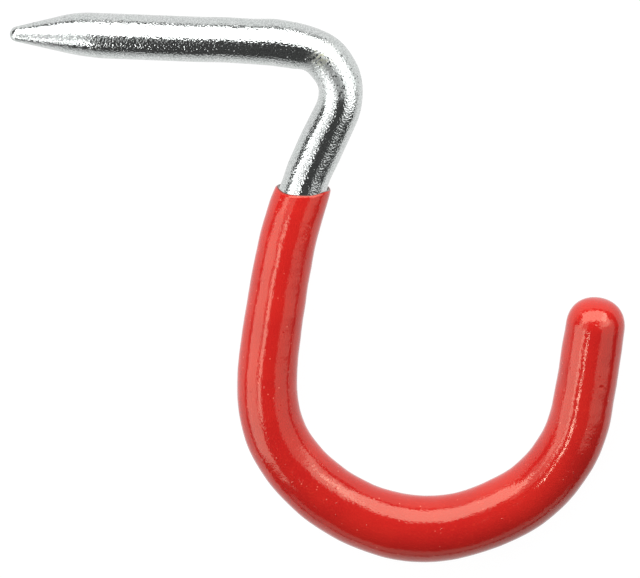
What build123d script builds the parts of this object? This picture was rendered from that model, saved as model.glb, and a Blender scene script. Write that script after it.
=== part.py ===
"""A hoof pick: a bent round steel bar with a ground point, and a dipped vinyl grip over its hook.

It is drawn lying flat, with the end of the point at the drawing's zero. X runs along the pick arm from
the point to the elbow, Y from the foot of the hook up to the arm, and Z is up. The bar's centre line
lies in one level plane. It is then moved so that its origin is under the middle of its box, on the
surface that it lies on. Millimetres and degrees.
"""

from build123d import *
import os
from math import cos, radians, sin, tan

# The bar's centre line, from the end of the point to the end hidden in the grip.
BAR_DIAMETER = 9.525  # 3/8 in round bar
ARM_LENGTH = 58.6
ELBOW_RADIUS = 11.1
ELBOW_TURN = 112.5
SHANK_LENGTH = 5.9
LEAN_RADIUS = 116.0  # the long gentle bend that brings the shank upright
LEAN_TURN = 17.4
PALM_LENGTH = 16.4
HOOK_ENTRY_RADIUS = 29.6  # the hook is a little tighter at both its ends than round its foot
HOOK_ENTRY_TURN = 42.0
HOOK_FOOT_RADIUS = 34.7
HOOK_FOOT_TURN = 93.0
HOOK_EXIT_RADIUS = 30.5
HOOK_EXIT_TURN = 43.5
PRONG_LENGTH = 21.9
BAR_END_ROUND = 2.4  # the sheared edge of the hidden end

# The point is ground as a blunt cone, whose axis is a little below the arm's at the end.
POINT_HALF_ANGLE = 13.5
POINT_DIP = 2.5
POINT_DROP = 0.3
POINT_END_RADIUS = 1.4
POINT_NOSE_ROUND = 1.2
POINT_SHOULDER_ROUND = 20.0
GRINDING_ALLOWANCE = 1.0  # the bar is cut this much longer than the finished arm

# The vinyl is thicker the deeper it hung in the dip, with a bead where the last of it ran down.
MOUTH_DROP = 31.7  # from the arm's centre line down to the middle of the grip's mouth
MOUTH_TILT = 2.3  # the level of the dip, against the arm
COAT_AT_MOUTH = 1.15
COAT_GAIN = 0.75  # from the mouth to the lowest point
COAT_BEAD = 0.45  # added at the lowest point
COAT_BEAD_POWER = 8  # how close to the lowest point the bead stays
COAT_OVER_END = 1.7  # over the bar's hidden end
COAT_END_ROUND = 5.0
COAT_LIP_ROUND = 0.6
TAPER_SPANS = {"entry": 2, "foot": 4, "exit": 2}  # each arc of the hook tapers in this many spans

bar_radius = BAR_DIAMETER / 2
on_base = (Align.CENTER, Align.CENTER, Align.MIN)


def centre_line():
    """The bar's centre line as named edges, each tangent to the one before."""
    arm = Line((-GRINDING_ALLOWANCE, 0), (ARM_LENGTH, 0))
    elbow = JernArc(arm @ 1, arm % 1, ELBOW_RADIUS, -ELBOW_TURN)
    shank = PolarLine(elbow @ 1, SHANK_LENGTH, direction=elbow % 1)
    lean = JernArc(shank @ 1, shank % 1, LEAN_RADIUS, LEAN_TURN)
    palm = PolarLine(lean @ 1, PALM_LENGTH, direction=lean % 1)
    entry = JernArc(palm @ 1, palm % 1, HOOK_ENTRY_RADIUS, HOOK_ENTRY_TURN)
    foot = JernArc(entry @ 1, entry % 1, HOOK_FOOT_RADIUS, HOOK_FOOT_TURN)
    leave = JernArc(foot @ 1, foot % 1, HOOK_EXIT_RADIUS, HOOK_EXIT_TURN)
    prong = PolarLine(leave @ 1, PRONG_LENGTH, direction=leave % 1)
    return {
        "arm": arm,
        "elbow": elbow,
        "shank": shank,
        "lean": lean,
        "palm": palm,
        "entry": entry,
        "foot": foot,
        "exit": leave,
        "prong": prong,
    }


def disc_across(edge, at, radius):
    """A disc of that radius, square to an edge at a place from 0 to 1 along it."""
    return Plane(origin=edge @ at, z_dir=edge % at) * Circle(radius)


def point_waste():
    """What is ground off the end of the arm: a ring whose hole is a cone with a rounded nose."""
    slope = tan(radians(POINT_HALF_ANGLE))
    cone_length = BAR_DIAMETER / slope
    cone = Cone(POINT_END_RADIUS, POINT_END_RADIUS + cone_length * slope, cone_length, align=on_base)
    cone = fillet(cone.edges().sort_by(Axis.Z)[0], POINT_NOSE_ROUND)
    dip = radians(POINT_DIP)
    cone = Plane(origin=(0, -POINT_DROP), z_dir=(cos(dip), sin(dip))) * cone
    stock = Cylinder(BAR_DIAMETER, BAR_DIAMETER + cone_length / 2, align=on_base)
    stock = Plane(origin=(-BAR_DIAMETER, 0), z_dir=(1, 0)) * stock
    return stock - cone


def make_bar(line):
    """The bent bar, with its point ground, and the point's shoulder and the hidden end rounded."""
    bar = sweep(disc_across(line["arm"], 0, bar_radius), path=Wire(list(line.values())))
    bar -= point_waste()
    shoulder = bar.edges().filter_by(GeomType.BSPLINE)
    bar = fillet(shoulder, POINT_SHOULDER_ROUND)
    hidden_end = bar.edges().filter_by(GeomType.CIRCLE).sort_by_distance(line["prong"] @ 1)[0]
    return fillet(hidden_end, BAR_END_ROUND)


def coat_radius(height, lowest):
    """The grip's outer radius where its centre line is at that height, the foot of the hook being lowest."""
    depth = max(0.0, (-MOUTH_DROP - height) / (-MOUTH_DROP - lowest))
    return bar_radius + COAT_AT_MOUTH + COAT_GAIN * depth + COAT_BEAD * depth**COAT_BEAD_POWER


def grip_spans(line):
    """The stretches of centre line that the grip covers, with the hook's arcs cut into shorter ones."""
    spans = [line["lean"], line["palm"]]
    for name, count in TAPER_SPANS.items():
        spans += [line[name].trim(i / count, (i + 1) / count) for i in range(count)]
    return spans + [line["prong"].trim(0, 1 - COAT_END_ROUND / PRONG_LENGTH)]


def grip_end(span, radius):
    """The rounded end of the grip, from the end of its last span to just past the bar's hidden end."""
    end = Cylinder(radius, COAT_END_ROUND + COAT_OVER_END, align=on_base)
    end = fillet(end.edges().sort_by(Axis.Z)[-1], COAT_END_ROUND)
    return Plane(origin=span @ 1, z_dir=span % 1) * end


def above_mouth(line):
    """The space above the level of the dip, which the vinyl doesn't reach."""
    middle = line["lean"].intersect(Axis((0, -MOUTH_DROP), (1, 0)))[0]
    width = 4 * BAR_DIAMETER
    space = Box(width, MOUTH_DROP, width, align=(Align.CENTER, Align.MIN, Align.CENTER))
    return Pos(middle.X, middle.Y) * Rot(0, 0, MOUTH_TILT) * space


def make_grip(line, bar):
    """The vinyl: a tapering tube closed over the bar's end, cut level at its mouth."""
    lowest = line["foot"].bounding_box().min.Y
    spans = grip_spans(line)
    grip = grip_end(spans[-1], coat_radius((spans[-1] @ 1).Y, lowest))
    for span in spans:
        discs = [disc_across(span, at, coat_radius((span @ at).Y, lowest)) for at in (0, 1)]
        grip += sweep(discs, path=span, multisection=True)
    grip -= above_mouth(line)
    lip = grip.faces().filter_by(GeomType.PLANE).sort_by(Axis.Y)[-1].edges()
    grip = fillet(lip, COAT_LIP_ROUND)
    return grip - bar


def main():
    """Makes both pieces, sets them over the origin and writes each to its own file."""
    line = centre_line()
    bar = make_bar(line)
    grip = make_grip(line, bar)
    box = bar.bounding_box().add(grip.bounding_box())
    place = Pos(-box.center().X, -box.center().Y, -box.min.Z)
    print("box", box.size, "zero of the drawing", place.position)
    os.makedirs("parts", exist_ok=True)
    for name, piece in {"bent_steel_pick": bar, "vinyl_grip": grip}.items():
        print(name, piece.is_valid, len(piece.solids()), round(piece.volume, 1))
        export_step(place * piece, f"parts/{name}.step")


if __name__ == "__main__":
    main()
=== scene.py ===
"""The looks of a hoof pick: a bent, zinc-plated steel bar with a ground point, and a dipped red vinyl grip.

Both pieces are skins laid round one centre line. The line is drawn as in the CAD model, in millimetres: it
starts at the end of the point, X runs along the pick arm, Y from the foot of the hook up to the arm, and
Z is up from the level plane that the line lies in. to_frame() puts a drawn point into the row frame.
A distance along the line is called s, and an angle round the bar is 0 on the left of the way the line
goes, 90 degrees on top.
"""

from math import cos, pi, radians, sin, tan

import bpy
import numpy as np
from mathutils import Matrix, Vector


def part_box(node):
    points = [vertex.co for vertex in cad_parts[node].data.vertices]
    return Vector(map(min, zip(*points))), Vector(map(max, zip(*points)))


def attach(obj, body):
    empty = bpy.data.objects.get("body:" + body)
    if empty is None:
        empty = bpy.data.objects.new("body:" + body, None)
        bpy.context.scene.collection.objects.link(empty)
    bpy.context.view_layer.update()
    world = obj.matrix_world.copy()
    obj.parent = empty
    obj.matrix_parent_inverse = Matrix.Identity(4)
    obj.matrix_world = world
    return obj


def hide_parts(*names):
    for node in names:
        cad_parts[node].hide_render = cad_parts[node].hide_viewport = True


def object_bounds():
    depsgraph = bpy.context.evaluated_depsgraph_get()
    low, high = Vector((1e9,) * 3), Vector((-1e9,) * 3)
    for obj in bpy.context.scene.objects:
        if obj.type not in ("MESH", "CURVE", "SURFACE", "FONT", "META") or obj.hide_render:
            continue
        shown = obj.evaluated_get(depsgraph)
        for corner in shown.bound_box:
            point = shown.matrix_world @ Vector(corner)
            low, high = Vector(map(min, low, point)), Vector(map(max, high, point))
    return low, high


MM = 0.001

# The bar's centre line, as in the CAD model: millimetres and degrees.
BAR_RADIUS = 9.525 / 2
ARM_LENGTH = 58.6
ELBOW_RADIUS = 11.1
ELBOW_TURN = 112.5
SHANK_LENGTH = 5.9
LEAN_RADIUS = 116.0
LEAN_TURN = 17.4
PALM_LENGTH = 16.4
HOOK_ENTRY_RADIUS = 29.6
HOOK_ENTRY_TURN = 42.0
HOOK_FOOT_RADIUS = 34.7
HOOK_FOOT_TURN = 93.0
HOOK_EXIT_RADIUS = 30.5
HOOK_EXIT_TURN = 43.5
PRONG_LENGTH = 21.9
BAR_END_ROUND = 2.4

# The ground point.
POINT_HALF_ANGLE = 13.1
POINT_DIP = 2.8
POINT_DROP = 0.40
POINT_END_RADIUS = 1.30
POINT_NOSE_ROUND = 1.6
POINT_SHOULDER_BLEND = 0.9  # how far apart the cone and the bar are where they start to blend
POINT_AXIS_MEETS_BAR = (17.0, 24.0)  # over this stretch the point's own axis runs into the bar's

# The vinyl coat.
MOUTH_DROP = 31.7
LEVEL_TILT = 2.28  # the level of the dip, against the arm
COAT_AT_MOUTH = 1.10
COAT_GAIN = 0.80  # from the mouth to the lowest point
COAT_BEAD = 0.36
COAT_BEAD_POWER = 5.5  # how close to the lowest point the bead stays
COAT_BEAD_ON_TOP = 0.75  # the bead's share on the upper side of the hanging bar, and on its underside
COAT_BEAD_UNDER = 1.25
COAT_THIN_AT_LIP = 0.27
COAT_THIN_LENGTH = 2.2
COAT_OVER_END = 2.27
COAT_END_HEIGHT = 6.4
COAT_END_FULLNESS = 2.25  # 2 would be an ellipse
LIP_ROUND = 0.7
LIP_GAP = 0.40
FIT_GAP = 0.03
MOUTH_BLEND = 15.0  # the skin's rings turn from level to square over this length
RIPPLE_SLOW = 0.018  # the heights of three kinds of unevenness
RIPPLE_LUMPS = 0.03
RIPPLE_QUICK = 0.008
RIPPLE_FADE = 3.0  # the unevenness grows from nothing at the lip over this length
INNER_RADIUS = BAR_RADIUS + FIT_GAP

# Each of these is a gentle local change: where along the line it is, its half length, and its amount in mm.
LINE_STRAYS = [  # to the left: a bar bent by hand isn't quite straights and arcs
    (45.0, 6.0, 0.12),
    (60.5, 6.0, -0.52),
    (73.0, 4.5, 0.14),
    (94.0, 4.0, -0.12),
    (115.0, 8.0, 0.12),
    (130.0, 9.0, -0.12),
    (142.0, 7.0, 0.13),
    (154.0, 8.0, -0.08),
    (173.0, 14.0, 0.22),
    (191.0, 9.0, -0.07),
    (208.0, 11.0, 0.22),
    (245.0, 6.0, -0.12),
    (260.0, 11.0, 0.15),
]
BAR_SWELLS = [  # in the plane of the bend: wider where the bar's sides were pushed out, narrower beside it
    (56.5, 7.0, 0.21),
    (64.0, 4.0, -0.12),
    (75.0, 8.0, -0.13),
    (88.0, 8.0, 0.10),
]
SWELL_FADE = 4.0  # the swells fade to nothing over this length above the mouth
COAT_DRIPS = [  # thicker where the last of the vinyl gathered, thinner where it ran from
    (188.0, 8.0, 0.07),
    (203.0, 9.0, -0.13),
    (252.0, 8.0, 0.08),
]

# Where the mouth's edge rises: the angle round the bar and the half width in degrees, and the height in mm.
LIP_RISES = [
    (38.0, 38.0, 0.4),
    (180.0, 60.0, 0.7),
]
LIP_SWAY = 0.08

# How fine the skins are: points round a ring, rings to each rounding, and mm from one ring to the next.
BAR_POINTS = 112
BAR_FIRST_RING = 0.2  # past the nose's last ring
BAR_SPACING = 0.36
BAR_FINE_BELOW_MOUTH = 4.0  # the fine rings go on this far into the grip
BAR_HIDDEN_SPACING = 2.0
GRIP_POINTS = 128
GRIP_FIRST_RING = 0.35  # past the lip's last ring
GRIP_SPACING = 0.45
GRIP_HIDDEN_SPACING = 1.5
GRIP_HIDDEN_END = 3.0  # the coarse rings of its inner side stop this far below the mouth
GRIP_RINGS_NEAR_LIP = (2.4, 1.8, 1.3, 0.9, 0.6)  # and the ones between there and the lip are this far below
NOSE_RINGS = 14
BAR_END_RINGS = 7
LIP_RINGS = 12
DOME_RINGS = 28

# The plating's marks: the drawn place and how far each reaches in mm, and a stain's colour.
STAINS = [
    ((22.6, 2.7, 3.9), 2.4, (0.62, 0.50, 0.36)),
    ((65.6, -1.0, 4.6), 4.0, (0.66, 0.66, 0.50)),
]
DULL_PATCH = ((68.5, -4.5, 4.0), 11.0)  # where the bend was pressed
PITTED_PATCH = ((72.0, -7.0, 3.0), 12.0)
ZINC_ROUGHNESS = (0.07, 0.40)  # bright, and at the dullest
ZINC_COLOURS = ((0.70, 0.735, 0.72), (0.73, 0.75, 0.745))
MOTTLE_COLOUR = (0.22, 0.23, 0.23)
PIT_COLOUR = (0.02, 0.02, 0.02)

VINYL_ROUGHNESS = 0.11
VINYL_IOR = 1.62
VINYL_SHINE = (1.0, 0.85, 0.65)  # its highlights are a little warm
VINYL_COLOURS = ((0.385, 0.0095, 0.0085), (0.425, 0.0125, 0.0095))
SPECK_COLOUR = (0.53, 0.030, 0.016)
# painted glints: bright salmon dots in the vinyl's colour that stand in for tiny highlights
PAINTED_GLINT_COLOUR = (0.70, 0.16, 0.11)
# painted shade: near-black red for the vinyl where it meets the bar, standing in for the shadow in that
# crease
GROOVE_PAINTED_SHADE = (0.035, 0.006, 0.004)
GROOVE_SHADE_TURN = 0.9  # radians of the lip's rounding over which the painted shade in the groove fades

# The light table under the pick, in metres.
FLOOR_SIZE = 8.0
FLOOR_COLOUR = (0.06, 0.06, 0.06)
FLOOR_GLOW = 0.85
FLOOR_SEEN = 0.96
FLOOR_LIT_REACH = (0.118, 0.205)  # how far the glow reaches from its middle, along X and Y
FLOOR_LIT_MIDDLE = -0.05  # its middle's Y
FLOOR_LIT_EDGE = (0.92, 1.08)  # it fades out between these parts of that reach

BACKDROP_SEEN = 0.97
BACKDROP_LIGHT = 0.07

# The soft boxes: each one's drawn place, which way it faces, its width and height in mm, and its radiance,
# and for some the spread of its light in degrees and whether it shows in reflections.
SOFT_BOXES = {
    "back_box": ((84, 218, 146), (0.06, -0.60, -0.79), (646, 322), 3.8),
    "front_left_box": ((-472, -256, 206), (0.41, 0.23, -0.88), (567, 560), 2.3),
    "near_left_card": ((-33, -110, 165), (0.0, 0.0, -1.0), (44, 90), 4.0),
    "prong_strip": ((47, -113, 165), (0.45, 0.0, -0.893), (50, 9), 1.7, 50),
    "elbow_card": ((170, -8, 95), (-1.0, 0.0, 0.0), (76, 150), 1.8),
    "right_box": ((755, 7, 423), (-0.66, 0.07, -0.75), (867, 784), 0.95),
    "left_strip": ((-190, 44, 165), (0.075, -0.035, -1.0), (124, 408), 0.9),
    "left_fill": ((-190, 44, 180), (0.075, -0.035, -1.0), (124, 408), 1.9, 180, False),
    "front_strip": ((168, -625, 104), (0.0, 0.98, -0.16), (890, 190), 0.58),
}

VIEW_WIDTH = 134.57  # mm across the picture at the pick
VIEW_TILT = 17.0  # from straight above, towards +Y
VIEW_AIM = (1.27, 0.30)  # mm from the middle of the pick's box
VIEW_FURTHEST = 20.0  # metres
LENS = 1000.0
SENSOR = 36.0

# The centre line's runs: each one's length, and its radius, positive for a left turn and None if straight.
LINE = [
    (ARM_LENGTH, None),
    (ELBOW_RADIUS * radians(ELBOW_TURN), -ELBOW_RADIUS),
    (SHANK_LENGTH, None),
    (LEAN_RADIUS * radians(LEAN_TURN), LEAN_RADIUS),
    (PALM_LENGTH, None),
    (HOOK_ENTRY_RADIUS * radians(HOOK_ENTRY_TURN), HOOK_ENTRY_RADIUS),
    (HOOK_FOOT_RADIUS * radians(HOOK_FOOT_TURN), HOOK_FOOT_RADIUS),
    (HOOK_EXIT_RADIUS * radians(HOOK_EXIT_TURN), HOOK_EXIT_RADIUS),
    (PRONG_LENGTH, None),
]
LINE_LENGTH = sum(length for length, _ in LINE)
ELBOW_END = ARM_LENGTH + LINE[1][0]
COAT_END = LINE_LENGTH + COAT_OVER_END

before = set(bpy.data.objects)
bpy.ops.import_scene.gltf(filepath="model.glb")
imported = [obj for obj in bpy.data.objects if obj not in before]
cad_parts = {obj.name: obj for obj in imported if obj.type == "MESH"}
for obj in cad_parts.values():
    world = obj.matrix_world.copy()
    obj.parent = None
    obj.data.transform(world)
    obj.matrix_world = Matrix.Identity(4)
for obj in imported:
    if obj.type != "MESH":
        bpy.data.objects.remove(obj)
cad_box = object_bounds()
steel_low, steel_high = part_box("bent_steel_pick")
ZERO = Vector((steel_low.x, steel_high.y - BAR_RADIUS * MM, (steel_low.z + steel_high.z) / 2))


def along(s):
    """The drawn centre line at distances s, an array: x, y and heading."""
    x, y, heading = np.zeros_like(s), np.zeros_like(s), np.zeros_like(s)
    start, turned = 0.0, 0.0
    for number, (length, radius) in enumerate(LINE):
        nearest = 0.0 if number else -np.inf
        furthest = length if number < len(LINE) - 1 else np.inf
        run = np.clip(s - start, nearest, furthest)
        if radius is None:
            x += run * cos(turned)
            y += run * sin(turned)
        else:
            angle = run / radius
            x += radius * (np.sin(turned + angle) - sin(turned))
            y -= radius * (np.cos(turned + angle) - cos(turned))
            heading += angle
            turned += length / radius
        start += length
    return x, y, heading


def smooth(t):
    """0 below 0, 1 above 1, and a smooth step between."""
    t = np.clip(t, 0.0, 1.0)
    return t * t * (3 - 2 * t)


def hump(t):
    """A smooth rise from 0 at -1 to 1 at 0, and back to 0 at 1."""
    return smooth(1 - np.abs(t))


def humps(s, places):
    """The sum of a list of gentle local changes, each with its middle, half length and amount, at s."""
    return sum(amount * hump((s - at) / half) for at, half, amount in places)


def around(s, angle, radius, aside=0.0, wider=0.0):
    """Drawn points round the line, each a radius out at an angle.

    The ring is moved aside, and made wider in the plane of the line, by those amounts.
    """
    x, y, heading = along(s)
    out = (radius + wider) * np.cos(angle) + aside + humps(s, LINE_STRAYS)
    up = radius * np.sin(angle)
    return np.stack([x - out * np.sin(heading), y + out * np.cos(heading), up], axis=-1)


def on_line(s, aside=0.0):
    """One drawn point on the line, or aside of it."""
    return around(np.array([s]), np.zeros(1), np.zeros(1), aside)[0]


def level(x, y):
    """How high drawn points were in the dip, whose level is tilted a little against the arm."""
    tilt = radians(LEVEL_TILT)
    return y * cos(tilt) - x * sin(tilt)


def to_frame(points):
    """Drawn millimetres to the row frame's metres."""
    return points * MM + np.array(ZERO)


def skin(name, rings, first_pole, last_pole):
    """A closed mesh over rings, an array of rings by points by xyz, with a pole at each end."""
    ring_count, around_count, _ = rings.shape
    points = np.concatenate([rings.reshape(-1, 3), [first_pole], [last_pole]])
    number = np.arange(ring_count * around_count).reshape(ring_count, around_count)
    beside = np.roll(number, -1, axis=1)
    faces = np.stack([number[:-1], beside[:-1], beside[1:], number[1:]], axis=-1).reshape(-1, 4).tolist()
    faces += [[b, a, ring_count * around_count] for a, b in zip(number[0], beside[0])]
    faces += [[a, b, ring_count * around_count + 1] for a, b in zip(number[-1], beside[-1])]
    mesh = bpy.data.meshes.new(name)
    mesh.from_pydata(to_frame(points).tolist(), [], [[int(v) for v in face] for face in faces])
    mesh.validate()
    mesh.shade_smooth()
    piece = bpy.data.objects.new(name, mesh)
    bpy.context.scene.collection.objects.link(piece)
    return piece


def angles_round(count):
    """The angles of a ring's points, as one row."""
    return np.linspace(0, 2 * pi, count, endpoint=False)[None, :]


# ---------------------------------------------------------------- the bar


def point_radius(s, angle):
    """The bar's radius round the point's own axis, and how far that axis lies aside of the arm's."""
    slope = tan(radians(POINT_HALF_ANGLE))
    start, end = POINT_AXIS_MEETS_BAR
    aside = (s * tan(radians(POINT_DIP)) - POINT_DROP) * (1 - smooth((s - start) / (end - start)))
    cone = POINT_END_RADIUS + s * slope
    bar = np.sqrt(BAR_RADIUS**2 - (aside * np.sin(angle)) ** 2) - aside * np.cos(angle)
    near = np.clip(POINT_SHOULDER_BLEND - np.abs(cone - bar), 0, None) / POINT_SHOULDER_BLEND
    return np.minimum(cone, bar) - near**2 * POINT_SHOULDER_BLEND / 4, aside


def make_bar():
    """The bent bar: fine rings where it shows, coarse ones where the grip hides it."""
    slope = radians(POINT_HALF_ANGLE)
    nose_turn = np.linspace(0, pi / 2 - slope, NOSE_RINGS)
    nose_s = POINT_NOSE_ROUND * (1 - np.cos(nose_turn))
    nose_middle = POINT_END_RADIUS + POINT_NOSE_ROUND * (tan(slope) - 1 / cos(slope))
    nose_radius = nose_middle + POINT_NOSE_ROUND * np.sin(nose_turn)
    fine_end = mouth_s + BAR_FINE_BELOW_MOUTH
    shown = np.arange(nose_s[-1] + BAR_FIRST_RING, fine_end, BAR_SPACING)
    hidden = np.arange(fine_end + BAR_HIDDEN_SPACING / 2, LINE_LENGTH - BAR_END_ROUND, BAR_HIDDEN_SPACING)
    end_turn = np.linspace(0, pi / 2, BAR_END_RINGS)
    end_s = LINE_LENGTH - BAR_END_ROUND * (1 - np.sin(end_turn))
    s = np.concatenate([nose_s, shown, hidden, end_s])[:, None]
    s, angle = np.broadcast_arrays(s, angles_round(BAR_POINTS))
    radius, aside = point_radius(s, angle)
    radius[:NOSE_RINGS] = nose_radius[:, None]
    radius[-BAR_END_RINGS:] = BAR_RADIUS - BAR_END_ROUND * (1 - np.cos(end_turn))[:, None]
    swell = humps(s, BAR_SWELLS) * smooth((mouth_s - s) / SWELL_FADE)
    rings = around(s, angle, radius, aside, swell)
    return skin("zinc_plated_bar", rings, on_line(0.0, -POINT_DROP), on_line(LINE_LENGTH))


# ---------------------------------------------------------------- the grip


def find_mouth():
    """Where along the line the middle of the mouth is, and how high it was in the dip."""
    furthest = 40.0
    tries = 8001
    s = np.linspace(ELBOW_END, ELBOW_END + furthest, tries)
    x, y, _ = along(s)
    at = np.argmin(np.abs(y + MOUTH_DROP))
    return s[at], level(x[at], y[at])


def find_lowest(start, tries=2000):
    """How high the lowest of the line past the mouth was in the dip."""
    x, y, _ = along(np.linspace(start, LINE_LENGTH, tries))
    return level(x, y).min()


mouth_s, mouth_level = find_mouth()
lowest_level = find_lowest(mouth_s)


def coat(s, angle):
    """How thick the vinyl is: more the deeper it hung, and most where the last of it ran down."""
    x, y, heading = along(s)
    depth = np.clip((mouth_level - level(x, y)) / (mouth_level - lowest_level), 0, 1)
    under = 0.5 - 0.5 * np.cos(angle) * np.cos(heading - radians(LEVEL_TILT))
    share = COAT_BEAD_ON_TOP + (COAT_BEAD_UNDER - COAT_BEAD_ON_TOP) * under**2
    bead = COAT_BEAD * depth**COAT_BEAD_POWER * share
    thin = COAT_THIN_AT_LIP * np.exp(-np.clip(s - mouth_s, 0, None) / COAT_THIN_LENGTH)
    return COAT_AT_MOUTH + COAT_GAIN * depth + bead + humps(s, COAT_DRIPS) - thin


def ripple(s, angle):
    """The coat's slight unevenness: waves of unrelated lengths, which don't repeat along the grip."""
    slow = np.sin(0.31 * s + 1.7 * np.cos(angle)) + 0.7 * np.sin(0.83 * s - 2.3 * np.sin(angle))
    lumps = np.sin(0.52 * s + 3 * np.sin(angle)) * np.cos(3 * angle + 0.21 * s)
    quick = np.sin(1.9 * s + 3 * np.cos(angle) + 1.2) * np.sin(2.7 * np.sin(angle) + 0.4 * s)
    return RIPPLE_SLOW * slow + RIPPLE_LUMPS * lumps + RIPPLE_QUICK * quick


def slope_at_mouth(angle, radius):
    """How much further along the line than its middle the level mouth is, at an angle round it."""
    _, _, heading = along(np.array([mouth_s]))
    tilt = radians(LEVEL_TILT)
    fall = -np.sin(heading - tilt)
    return radius * np.cos(angle) * np.cos(heading - tilt) / fall


def lip_waver(angle):
    """How far past its level the mouth's edge is at an angle: it sways, and rises at some places."""
    return LIP_SWAY * np.sin(2 * angle + 0.5) - humps(np.degrees(angle), LIP_RISES)


def sheared_rings(s, angle, radius):
    """Rings round the line: the ones at the mouth lie as its edge does, and ones far from it are square."""
    fade = 1 - smooth((s - mouth_s) / MOUTH_BLEND)
    return around(s + (slope_at_mouth(angle, radius) + lip_waver(angle)) * fade, angle, radius)


def inner_side(angle):
    """Rings up the vinyl's inner side, from the bar's hidden end to just below the lip."""
    end_turn = np.linspace(pi / 2, 0, BAR_END_RINGS)
    straight_start = LINE_LENGTH - BAR_END_ROUND - GRIP_HIDDEN_SPACING
    s = np.concatenate([
        LINE_LENGTH + FIT_GAP - BAR_END_ROUND * (1 - np.sin(end_turn)),
        np.arange(straight_start, mouth_s + GRIP_HIDDEN_END, -GRIP_HIDDEN_SPACING),
        mouth_s + np.array(GRIP_RINGS_NEAR_LIP),
    ])
    radius = np.full_like(s, INNER_RADIUS)
    radius[:BAR_END_RINGS] = INNER_RADIUS - BAR_END_ROUND * (1 - np.cos(end_turn))
    s, radius, angle = np.broadcast_arrays(s[:, None], radius[:, None], angle)
    return sheared_rings(s, angle, radius)


def lip(turn, angle):
    """Rings over the lip at turns of its rounding, from a small gap at the bar to the coat's outside."""
    start = INNER_RADIUS + LIP_GAP
    outside = BAR_RADIUS + coat(np.array([[mouth_s + LIP_ROUND]]), angle)
    radius = start + (outside - start) * np.sin(turn)[:, None]
    s = mouth_s + LIP_ROUND * (1 - np.cos(turn))
    s, angle = np.broadcast_arrays(s[:, None], angle)
    return sheared_rings(s, angle, radius)


def outer_side(angle):
    """Rings down the vinyl's outer side, from the lip to the start of its domed end, and the last radius."""
    s = np.arange(mouth_s + LIP_ROUND + GRIP_FIRST_RING, COAT_END - COAT_END_HEIGHT, GRIP_SPACING)
    s, angle = np.broadcast_arrays(s[:, None], angle)
    unevenness = ripple(s, angle) * smooth((s - mouth_s - LIP_ROUND) / RIPPLE_FADE)
    radius = BAR_RADIUS + coat(s, angle) + unevenness
    return sheared_rings(s, angle, radius), radius[-1]


def dome(angle, base_radius):
    """Rings round the end: a dome a little fuller than an ellipse."""
    turn = np.linspace(0, pi / 2, DOME_RINGS + 2)[1:-1, None]
    power = 2 / COAT_END_FULLNESS
    radius = base_radius * np.cos(turn) ** power
    s = COAT_END - COAT_END_HEIGHT * (1 - np.sin(turn) ** power)
    s, angle = np.broadcast_arrays(s, angle)
    return around(s, angle, radius)


def mark_painted_groove_shade(piece, inner_count, lip_turn, ring_count):
    """Marks how much painted shade each point of the grip gets, by how deep in the groove at the bar it is: 1
    inside, fading over the lip.
    """
    depth = np.zeros(ring_count)
    depth[:inner_count] = 1.0
    depth[inner_count:inner_count + len(lip_turn)] = 1 - smooth(lip_turn / GROOVE_SHADE_TURN)
    poles = [0.0, 0.0]
    values = np.concatenate([np.repeat(depth, GRIP_POINTS), poles])
    piece.data.attributes.new("groove", "FLOAT", "POINT").data.foreach_set("value", values)


def make_grip():
    """The vinyl's closed skin: up its inner side, over the lip, down its outer side and round its end."""
    angle = angles_round(GRIP_POINTS)
    lip_turn = np.linspace(0, pi / 2, LIP_RINGS)
    inner = inner_side(angle)
    outer, last_radius = outer_side(angle)
    rings = np.concatenate([inner, lip(lip_turn, angle), outer, dome(angle, last_radius)])
    piece = skin("red_vinyl_coat", rings, on_line(LINE_LENGTH + FIT_GAP), on_line(COAT_END))
    mark_painted_groove_shade(piece, len(inner), lip_turn, len(rings))
    return piece


# ---------------------------------------------------------------- materials


def new_material(name):
    """A node material, its node tree and its Principled shader."""
    material = bpy.data.materials.new(name)
    material.use_nodes = True
    return material, material.node_tree, material.node_tree.nodes["Principled BSDF"]


def own_space(tree):
    """A place in the piece's own space."""
    return tree.nodes.new("ShaderNodeTexCoord").outputs["Object"]


def noise(tree, size, detail):
    """A noise texture with features of that size in millimetres."""
    texture = tree.nodes.new("ShaderNodeTexNoise")
    texture.inputs["Scale"].default_value = 1 / (size * MM)
    texture.inputs["Detail"].default_value = detail
    tree.links.new(own_space(tree), texture.inputs["Vector"])
    return texture.outputs["Fac"]


def ramp(tree, source, low, high, colours):
    """A colour that runs from one to another between two values of a source."""
    node = tree.nodes.new("ShaderNodeValToRGB")
    for element, position, colour in zip(node.color_ramp.elements, (low, high), colours):
        element.position = position
        element.color = (*colour, 1)
    tree.links.new(source, node.inputs["Fac"])
    return node.outputs["Color"]


def stretch(tree, source, low, high, to_low=0.0, to_high=1.0):
    """A source from low to high, made to run smoothly from one value to another and held there outside."""
    node = tree.nodes.new("ShaderNodeMapRange")
    node.interpolation_type = "SMOOTHSTEP"
    node.inputs["From Min"].default_value = low
    node.inputs["From Max"].default_value = high
    node.inputs["To Min"].default_value = to_low
    node.inputs["To Max"].default_value = to_high
    tree.links.new(source, node.inputs["Value"])
    return node.outputs["Result"]


def combine(tree, operation, first, second):
    """Two values worked together, where the second may be a plain number."""
    node = tree.nodes.new("ShaderNodeMath")
    node.operation = operation
    tree.links.new(first, node.inputs[0])
    if isinstance(second, float):
        node.inputs[1].default_value = second
    else:
        tree.links.new(second, node.inputs[1])
    return node.outputs["Value"]


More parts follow.
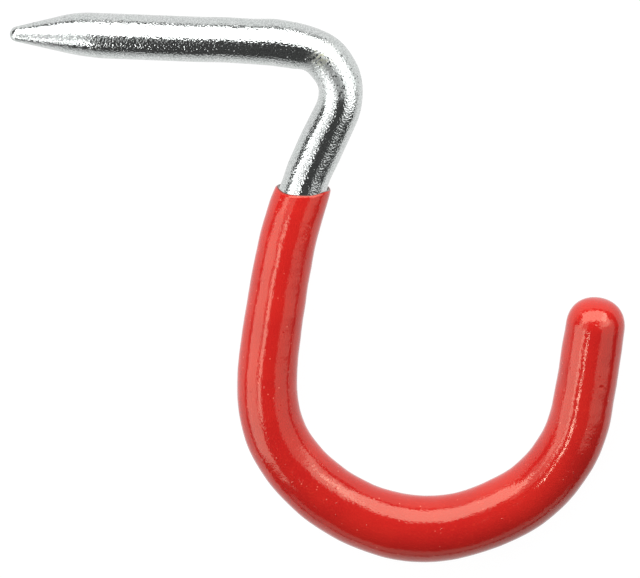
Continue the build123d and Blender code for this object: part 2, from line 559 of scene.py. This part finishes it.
def dots(tree, spacing, radius, share):
    """Scattered round dots, 1 in the middle and 0 outside.

    There is a place for a dot in about every spacing, and that share of the places has one.
    """
    cells = tree.nodes.new("ShaderNodeTexVoronoi")
    cells.inputs["Scale"].default_value = 1 / (spacing * MM)
    tree.links.new(own_space(tree), cells.inputs["Vector"])
    split = tree.nodes.new("ShaderNodeSeparateColor")
    tree.links.new(cells.outputs["Color"], split.inputs["Color"])
    chosen = combine(tree, "LESS_THAN", split.outputs["Red"], share)
    dot = stretch(tree, cells.outputs["Distance"], 0.0, radius / spacing, 1.0, 0.0)
    return combine(tree, "MULTIPLY", dot, chosen)


def near_place(tree, drawn, reach):
    """1 at a drawn place, falling to 0 at that reach from it."""
    distance = tree.nodes.new("ShaderNodeVectorMath")
    distance.operation = "DISTANCE"
    distance.inputs[1].default_value = tuple(to_frame(np.array(drawn)))
    tree.links.new(own_space(tree), distance.inputs[0])
    return stretch(tree, distance.outputs["Value"], 0.0, reach * MM, 1.0, 0.0)


def tint(tree, colour, amount, other):
    """A colour turned towards another plain colour by an amount from 0 to 1."""
    node = tree.nodes.new("ShaderNodeMix")
    node.data_type = "RGBA"
    tree.links.new(amount, node.inputs["Factor"])
    tree.links.new(colour, node.inputs["A"])
    node.inputs["B"].default_value = (*other, 1)
    return node.outputs["Result"]


def bump(tree, source, height, below=None):
    """A bump of that height in millimetres, sunken if negative, over another bump if given."""
    node = tree.nodes.new("ShaderNodeBump")
    node.inputs["Strength"].default_value = 1.0
    node.inputs["Distance"].default_value = height * MM
    tree.links.new(source, node.inputs["Height"])
    if below is not None:
        tree.links.new(below, node.inputs["Normal"])
    return node.outputs["Normal"]


def zinc():
    """Bright zinc plate over rolled steel: a fine grain, dark pits, faint stains and a dull patch."""
    material, tree, shader = new_material("zinc_plate")
    shader.inputs["Metallic"].default_value = 1.0
    colour = ramp(tree, noise(tree, size=5.0, detail=3), low=0.35, high=0.65, colours=ZINC_COLOURS)
    blotches = stretch(tree, noise(tree, size=0.6, detail=2), low=0.45, high=0.6)
    for drawn, reach, stain in STAINS:
        amount = combine(tree, "MULTIPLY", near_place(tree, drawn, reach), blotches)
        colour = tint(tree, colour, amount, stain)
    mottle = stretch(tree, noise(tree, size=0.28, detail=1), low=0.40, high=0.62, to_high=0.40)
    colour = tint(tree, colour, mottle, MOTTLE_COLOUR)
    pits = dots(tree, spacing=1.3, radius=0.28, share=0.22)
    close_pits = dots(tree, spacing=0.8, radius=0.26, share=0.4)
    close_pits = combine(tree, "MULTIPLY", close_pits, near_place(tree, *PITTED_PATCH))
    pits = combine(tree, "MAXIMUM", pits, close_pits)
    colour = tint(tree, colour, pits, PIT_COLOUR)
    tree.links.new(colour, shader.inputs["Base Color"])
    ragged = stretch(tree, noise(tree, size=0.6, detail=2), low=0.3, high=0.5)
    dull = combine(tree, "MULTIPLY", near_place(tree, *DULL_PATCH), ragged)
    roughness = stretch(tree, dull, 0.1, 0.6, *ZINC_ROUGHNESS)
    tree.links.new(roughness, shader.inputs["Roughness"])
    normal = bump(tree, noise(tree, size=1.6, detail=1), height=0.04)
    normal = bump(tree, noise(tree, size=0.40, detail=1), height=0.085, below=normal)
    normal = bump(tree, pits, height=-0.05, below=normal)
    tree.links.new(normal, shader.inputs["Normal"])
    return material


def vinyl():
    """Glossy red plastisol: a slow change of colour, specks, painted glints, painted shade in the groove at
    the bar, a fine peel, pimples and sunken bubbles.
    """
    material, tree, shader = new_material("red_vinyl")
    colour = ramp(tree, noise(tree, size=9.0, detail=2), low=0.35, high=0.65, colours=VINYL_COLOURS)
    specks = stretch(tree, noise(tree, size=0.5, detail=2), low=0.56, high=0.75, to_high=0.35)
    colour = tint(tree, colour, specks, SPECK_COLOUR)
    # painted glints: scattered bright salmon dots in the colour, standing in for tiny highlights
    colour = tint(tree, colour, dots(tree, spacing=1.1, radius=0.22, share=0.16), PAINTED_GLINT_COLOUR)
    # painted shade: the vinyl's colour darkened in the groove at the bar and over the start of the lip
    groove = tree.nodes.new("ShaderNodeAttribute")
    groove.attribute_name = "groove"
    colour = tint(tree, colour, groove.outputs["Fac"], GROOVE_PAINTED_SHADE)
    tree.links.new(colour, shader.inputs["Base Color"])
    shader.inputs["Roughness"].default_value = VINYL_ROUGHNESS
    shader.inputs["IOR"].default_value = VINYL_IOR
    shader.inputs["Specular Tint"].default_value = (*VINYL_SHINE, 1)
    normal = bump(tree, noise(tree, size=1.3, detail=1), height=0.03)
    normal = bump(tree, noise(tree, size=0.50, detail=2), height=0.034, below=normal)
    pimples = dots(tree, spacing=1.6, radius=0.35, share=0.3)
    bubbles = dots(tree, spacing=6.0, radius=0.7, share=0.35)
    normal = bump(tree, pimples, height=0.06, below=normal)
    normal = bump(tree, bubbles, height=-0.08, below=normal)
    tree.links.new(normal, shader.inputs["Normal"])
    return material


def light_table():
    """The floor's material: near white to the camera, with an oval glow round the pick, dark beyond it."""
    material, tree, shader = new_material("light_table")
    shader.inputs["Base Color"].default_value = (*FLOOR_COLOUR, 1)
    shader.inputs["Roughness"].default_value = 0.9
    shader.inputs["Specular IOR Level"].default_value = 0.0
    shader.inputs["Emission Color"].default_value = (1, 1, 1, 1)
    reach_x, reach_y = FLOOR_LIT_REACH
    oval = tree.nodes.new("ShaderNodeMapping")
    oval.inputs["Scale"].default_value = (1 / reach_x, 1 / reach_y, 1)
    oval.inputs["Location"].default_value = (0, -FLOOR_LIT_MIDDLE / reach_y, 0)
    distance = tree.nodes.new("ShaderNodeVectorMath")
    distance.operation = "LENGTH"
    tree.links.new(own_space(tree), oval.inputs["Vector"])
    tree.links.new(oval.outputs["Vector"], distance.inputs[0])
    lit = stretch(tree, distance.outputs["Value"], *FLOOR_LIT_EDGE, to_low=FLOOR_GLOW, to_high=0.0)
    path = tree.nodes.new("ShaderNodeLightPath")
    seen = combine(tree, "MULTIPLY", path.outputs["Is Camera Ray"], FLOOR_SEEN)
    tree.links.new(combine(tree, "MAXIMUM", lit, seen), shader.inputs["Emission Strength"])
    return material


# ---------------------------------------------------------------- the stage


def add_floor():
    """A wide floor, at the height that the pick lies on."""
    half = FLOOR_SIZE / 2
    mesh = bpy.data.meshes.new("floor")
    corners = [(-half, -half, 0), (half, -half, 0), (half, half, 0), (-half, half, 0)]
    mesh.from_pydata(corners, [], [(0, 1, 2, 3)])
    floor = bpy.data.objects.new("floor", mesh)
    floor.data.materials.append(light_table())
    bpy.context.scene.collection.objects.link(floor)


def add_soft_box(name, place, facing, size, radiance, spread=180, mirrored=True):
    """A rectangular light at a drawn place, never seen by the camera, and in reflections only if mirrored."""
    width, height = np.array(size) * MM
    data = bpy.data.lights.new(name, "AREA")
    data.shape = "RECTANGLE"
    data.size, data.size_y = width, height
    data.spread = radians(spread)
    data.energy = radiance * pi * width * height
    light = bpy.data.objects.new(name, data)
    light.location = to_frame(np.array(place))
    light.rotation_mode = "QUATERNION"
    light.rotation_quaternion = Vector(facing).to_track_quat("-Z", "Y")
    light.visible_camera = False
    light.visible_glossy = mirrored
    bpy.context.scene.collection.objects.link(light)


def add_backdrop():
    """A plain white world, pale where the camera sees it and dim where it lights the pick."""
    world = bpy.data.worlds.new("studio")
    world.use_nodes = True
    nodes, links = world.node_tree.nodes, world.node_tree.links
    dim = nodes["Background"]
    pale = nodes.new("ShaderNodeBackground")
    for background, strength in ((dim, BACKDROP_LIGHT), (pale, BACKDROP_SEEN)):
        background.inputs["Color"].default_value = (1, 1, 1, 1)
        background.inputs["Strength"].default_value = strength
    path = nodes.new("ShaderNodeLightPath")
    mix = nodes.new("ShaderNodeMixShader")
    links.new(path.outputs["Is Camera Ray"], mix.inputs["Fac"])
    links.new(dim.outputs["Background"], mix.inputs[1])
    links.new(pale.outputs["Background"], mix.inputs[2])
    links.new(mix.outputs["Shader"], nodes["World Output"].inputs["Surface"])
    bpy.context.scene.world = world


def add_camera():
    """A long lens looking down on the pick, tipped towards its arm and turned level with its mouth."""
    data = bpy.data.cameras.new("camera")
    data.lens = LENS
    data.sensor_width = SENSOR
    data.clip_end = VIEW_FURTHEST
    camera = bpy.data.objects.new("camera", data)
    turn = Matrix.Rotation(radians(LEVEL_TILT), 3, "Z") @ Matrix.Rotation(-radians(VIEW_TILT), 3, "X")
    middle = (cad_box[0] + cad_box[1]) / 2
    aim = Vector((middle.x + VIEW_AIM[0] * MM, middle.y + VIEW_AIM[1] * MM, ZERO.z))
    distance = VIEW_WIDTH * MM * LENS / SENSOR
    camera.matrix_world = Matrix.Translation(aim + turn @ Vector((0, 0, distance))) @ turn.to_4x4()
    bpy.context.scene.collection.objects.link(camera)
    bpy.context.scene.camera = camera


def finish_piece(piece, material, node):
    """Gives a piece its material and its body, and hides the CAD node it stands for."""
    piece.data.materials.append(material)
    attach(piece, "root")
    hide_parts(node)


finish_piece(make_bar(), zinc(), "bent_steel_pick")
grip = make_grip()
grip.visible_glossy = False  # so that the plating, which mirrors all round it, shows no red
finish_piece(grip, vinyl(), "vinyl_grip")
add_floor()
for name, soft_box in SOFT_BOXES.items():
    add_soft_box(name, *soft_box)
add_backdrop()
add_camera()
bpy.context.scene.view_settings.view_transform = "Standard"
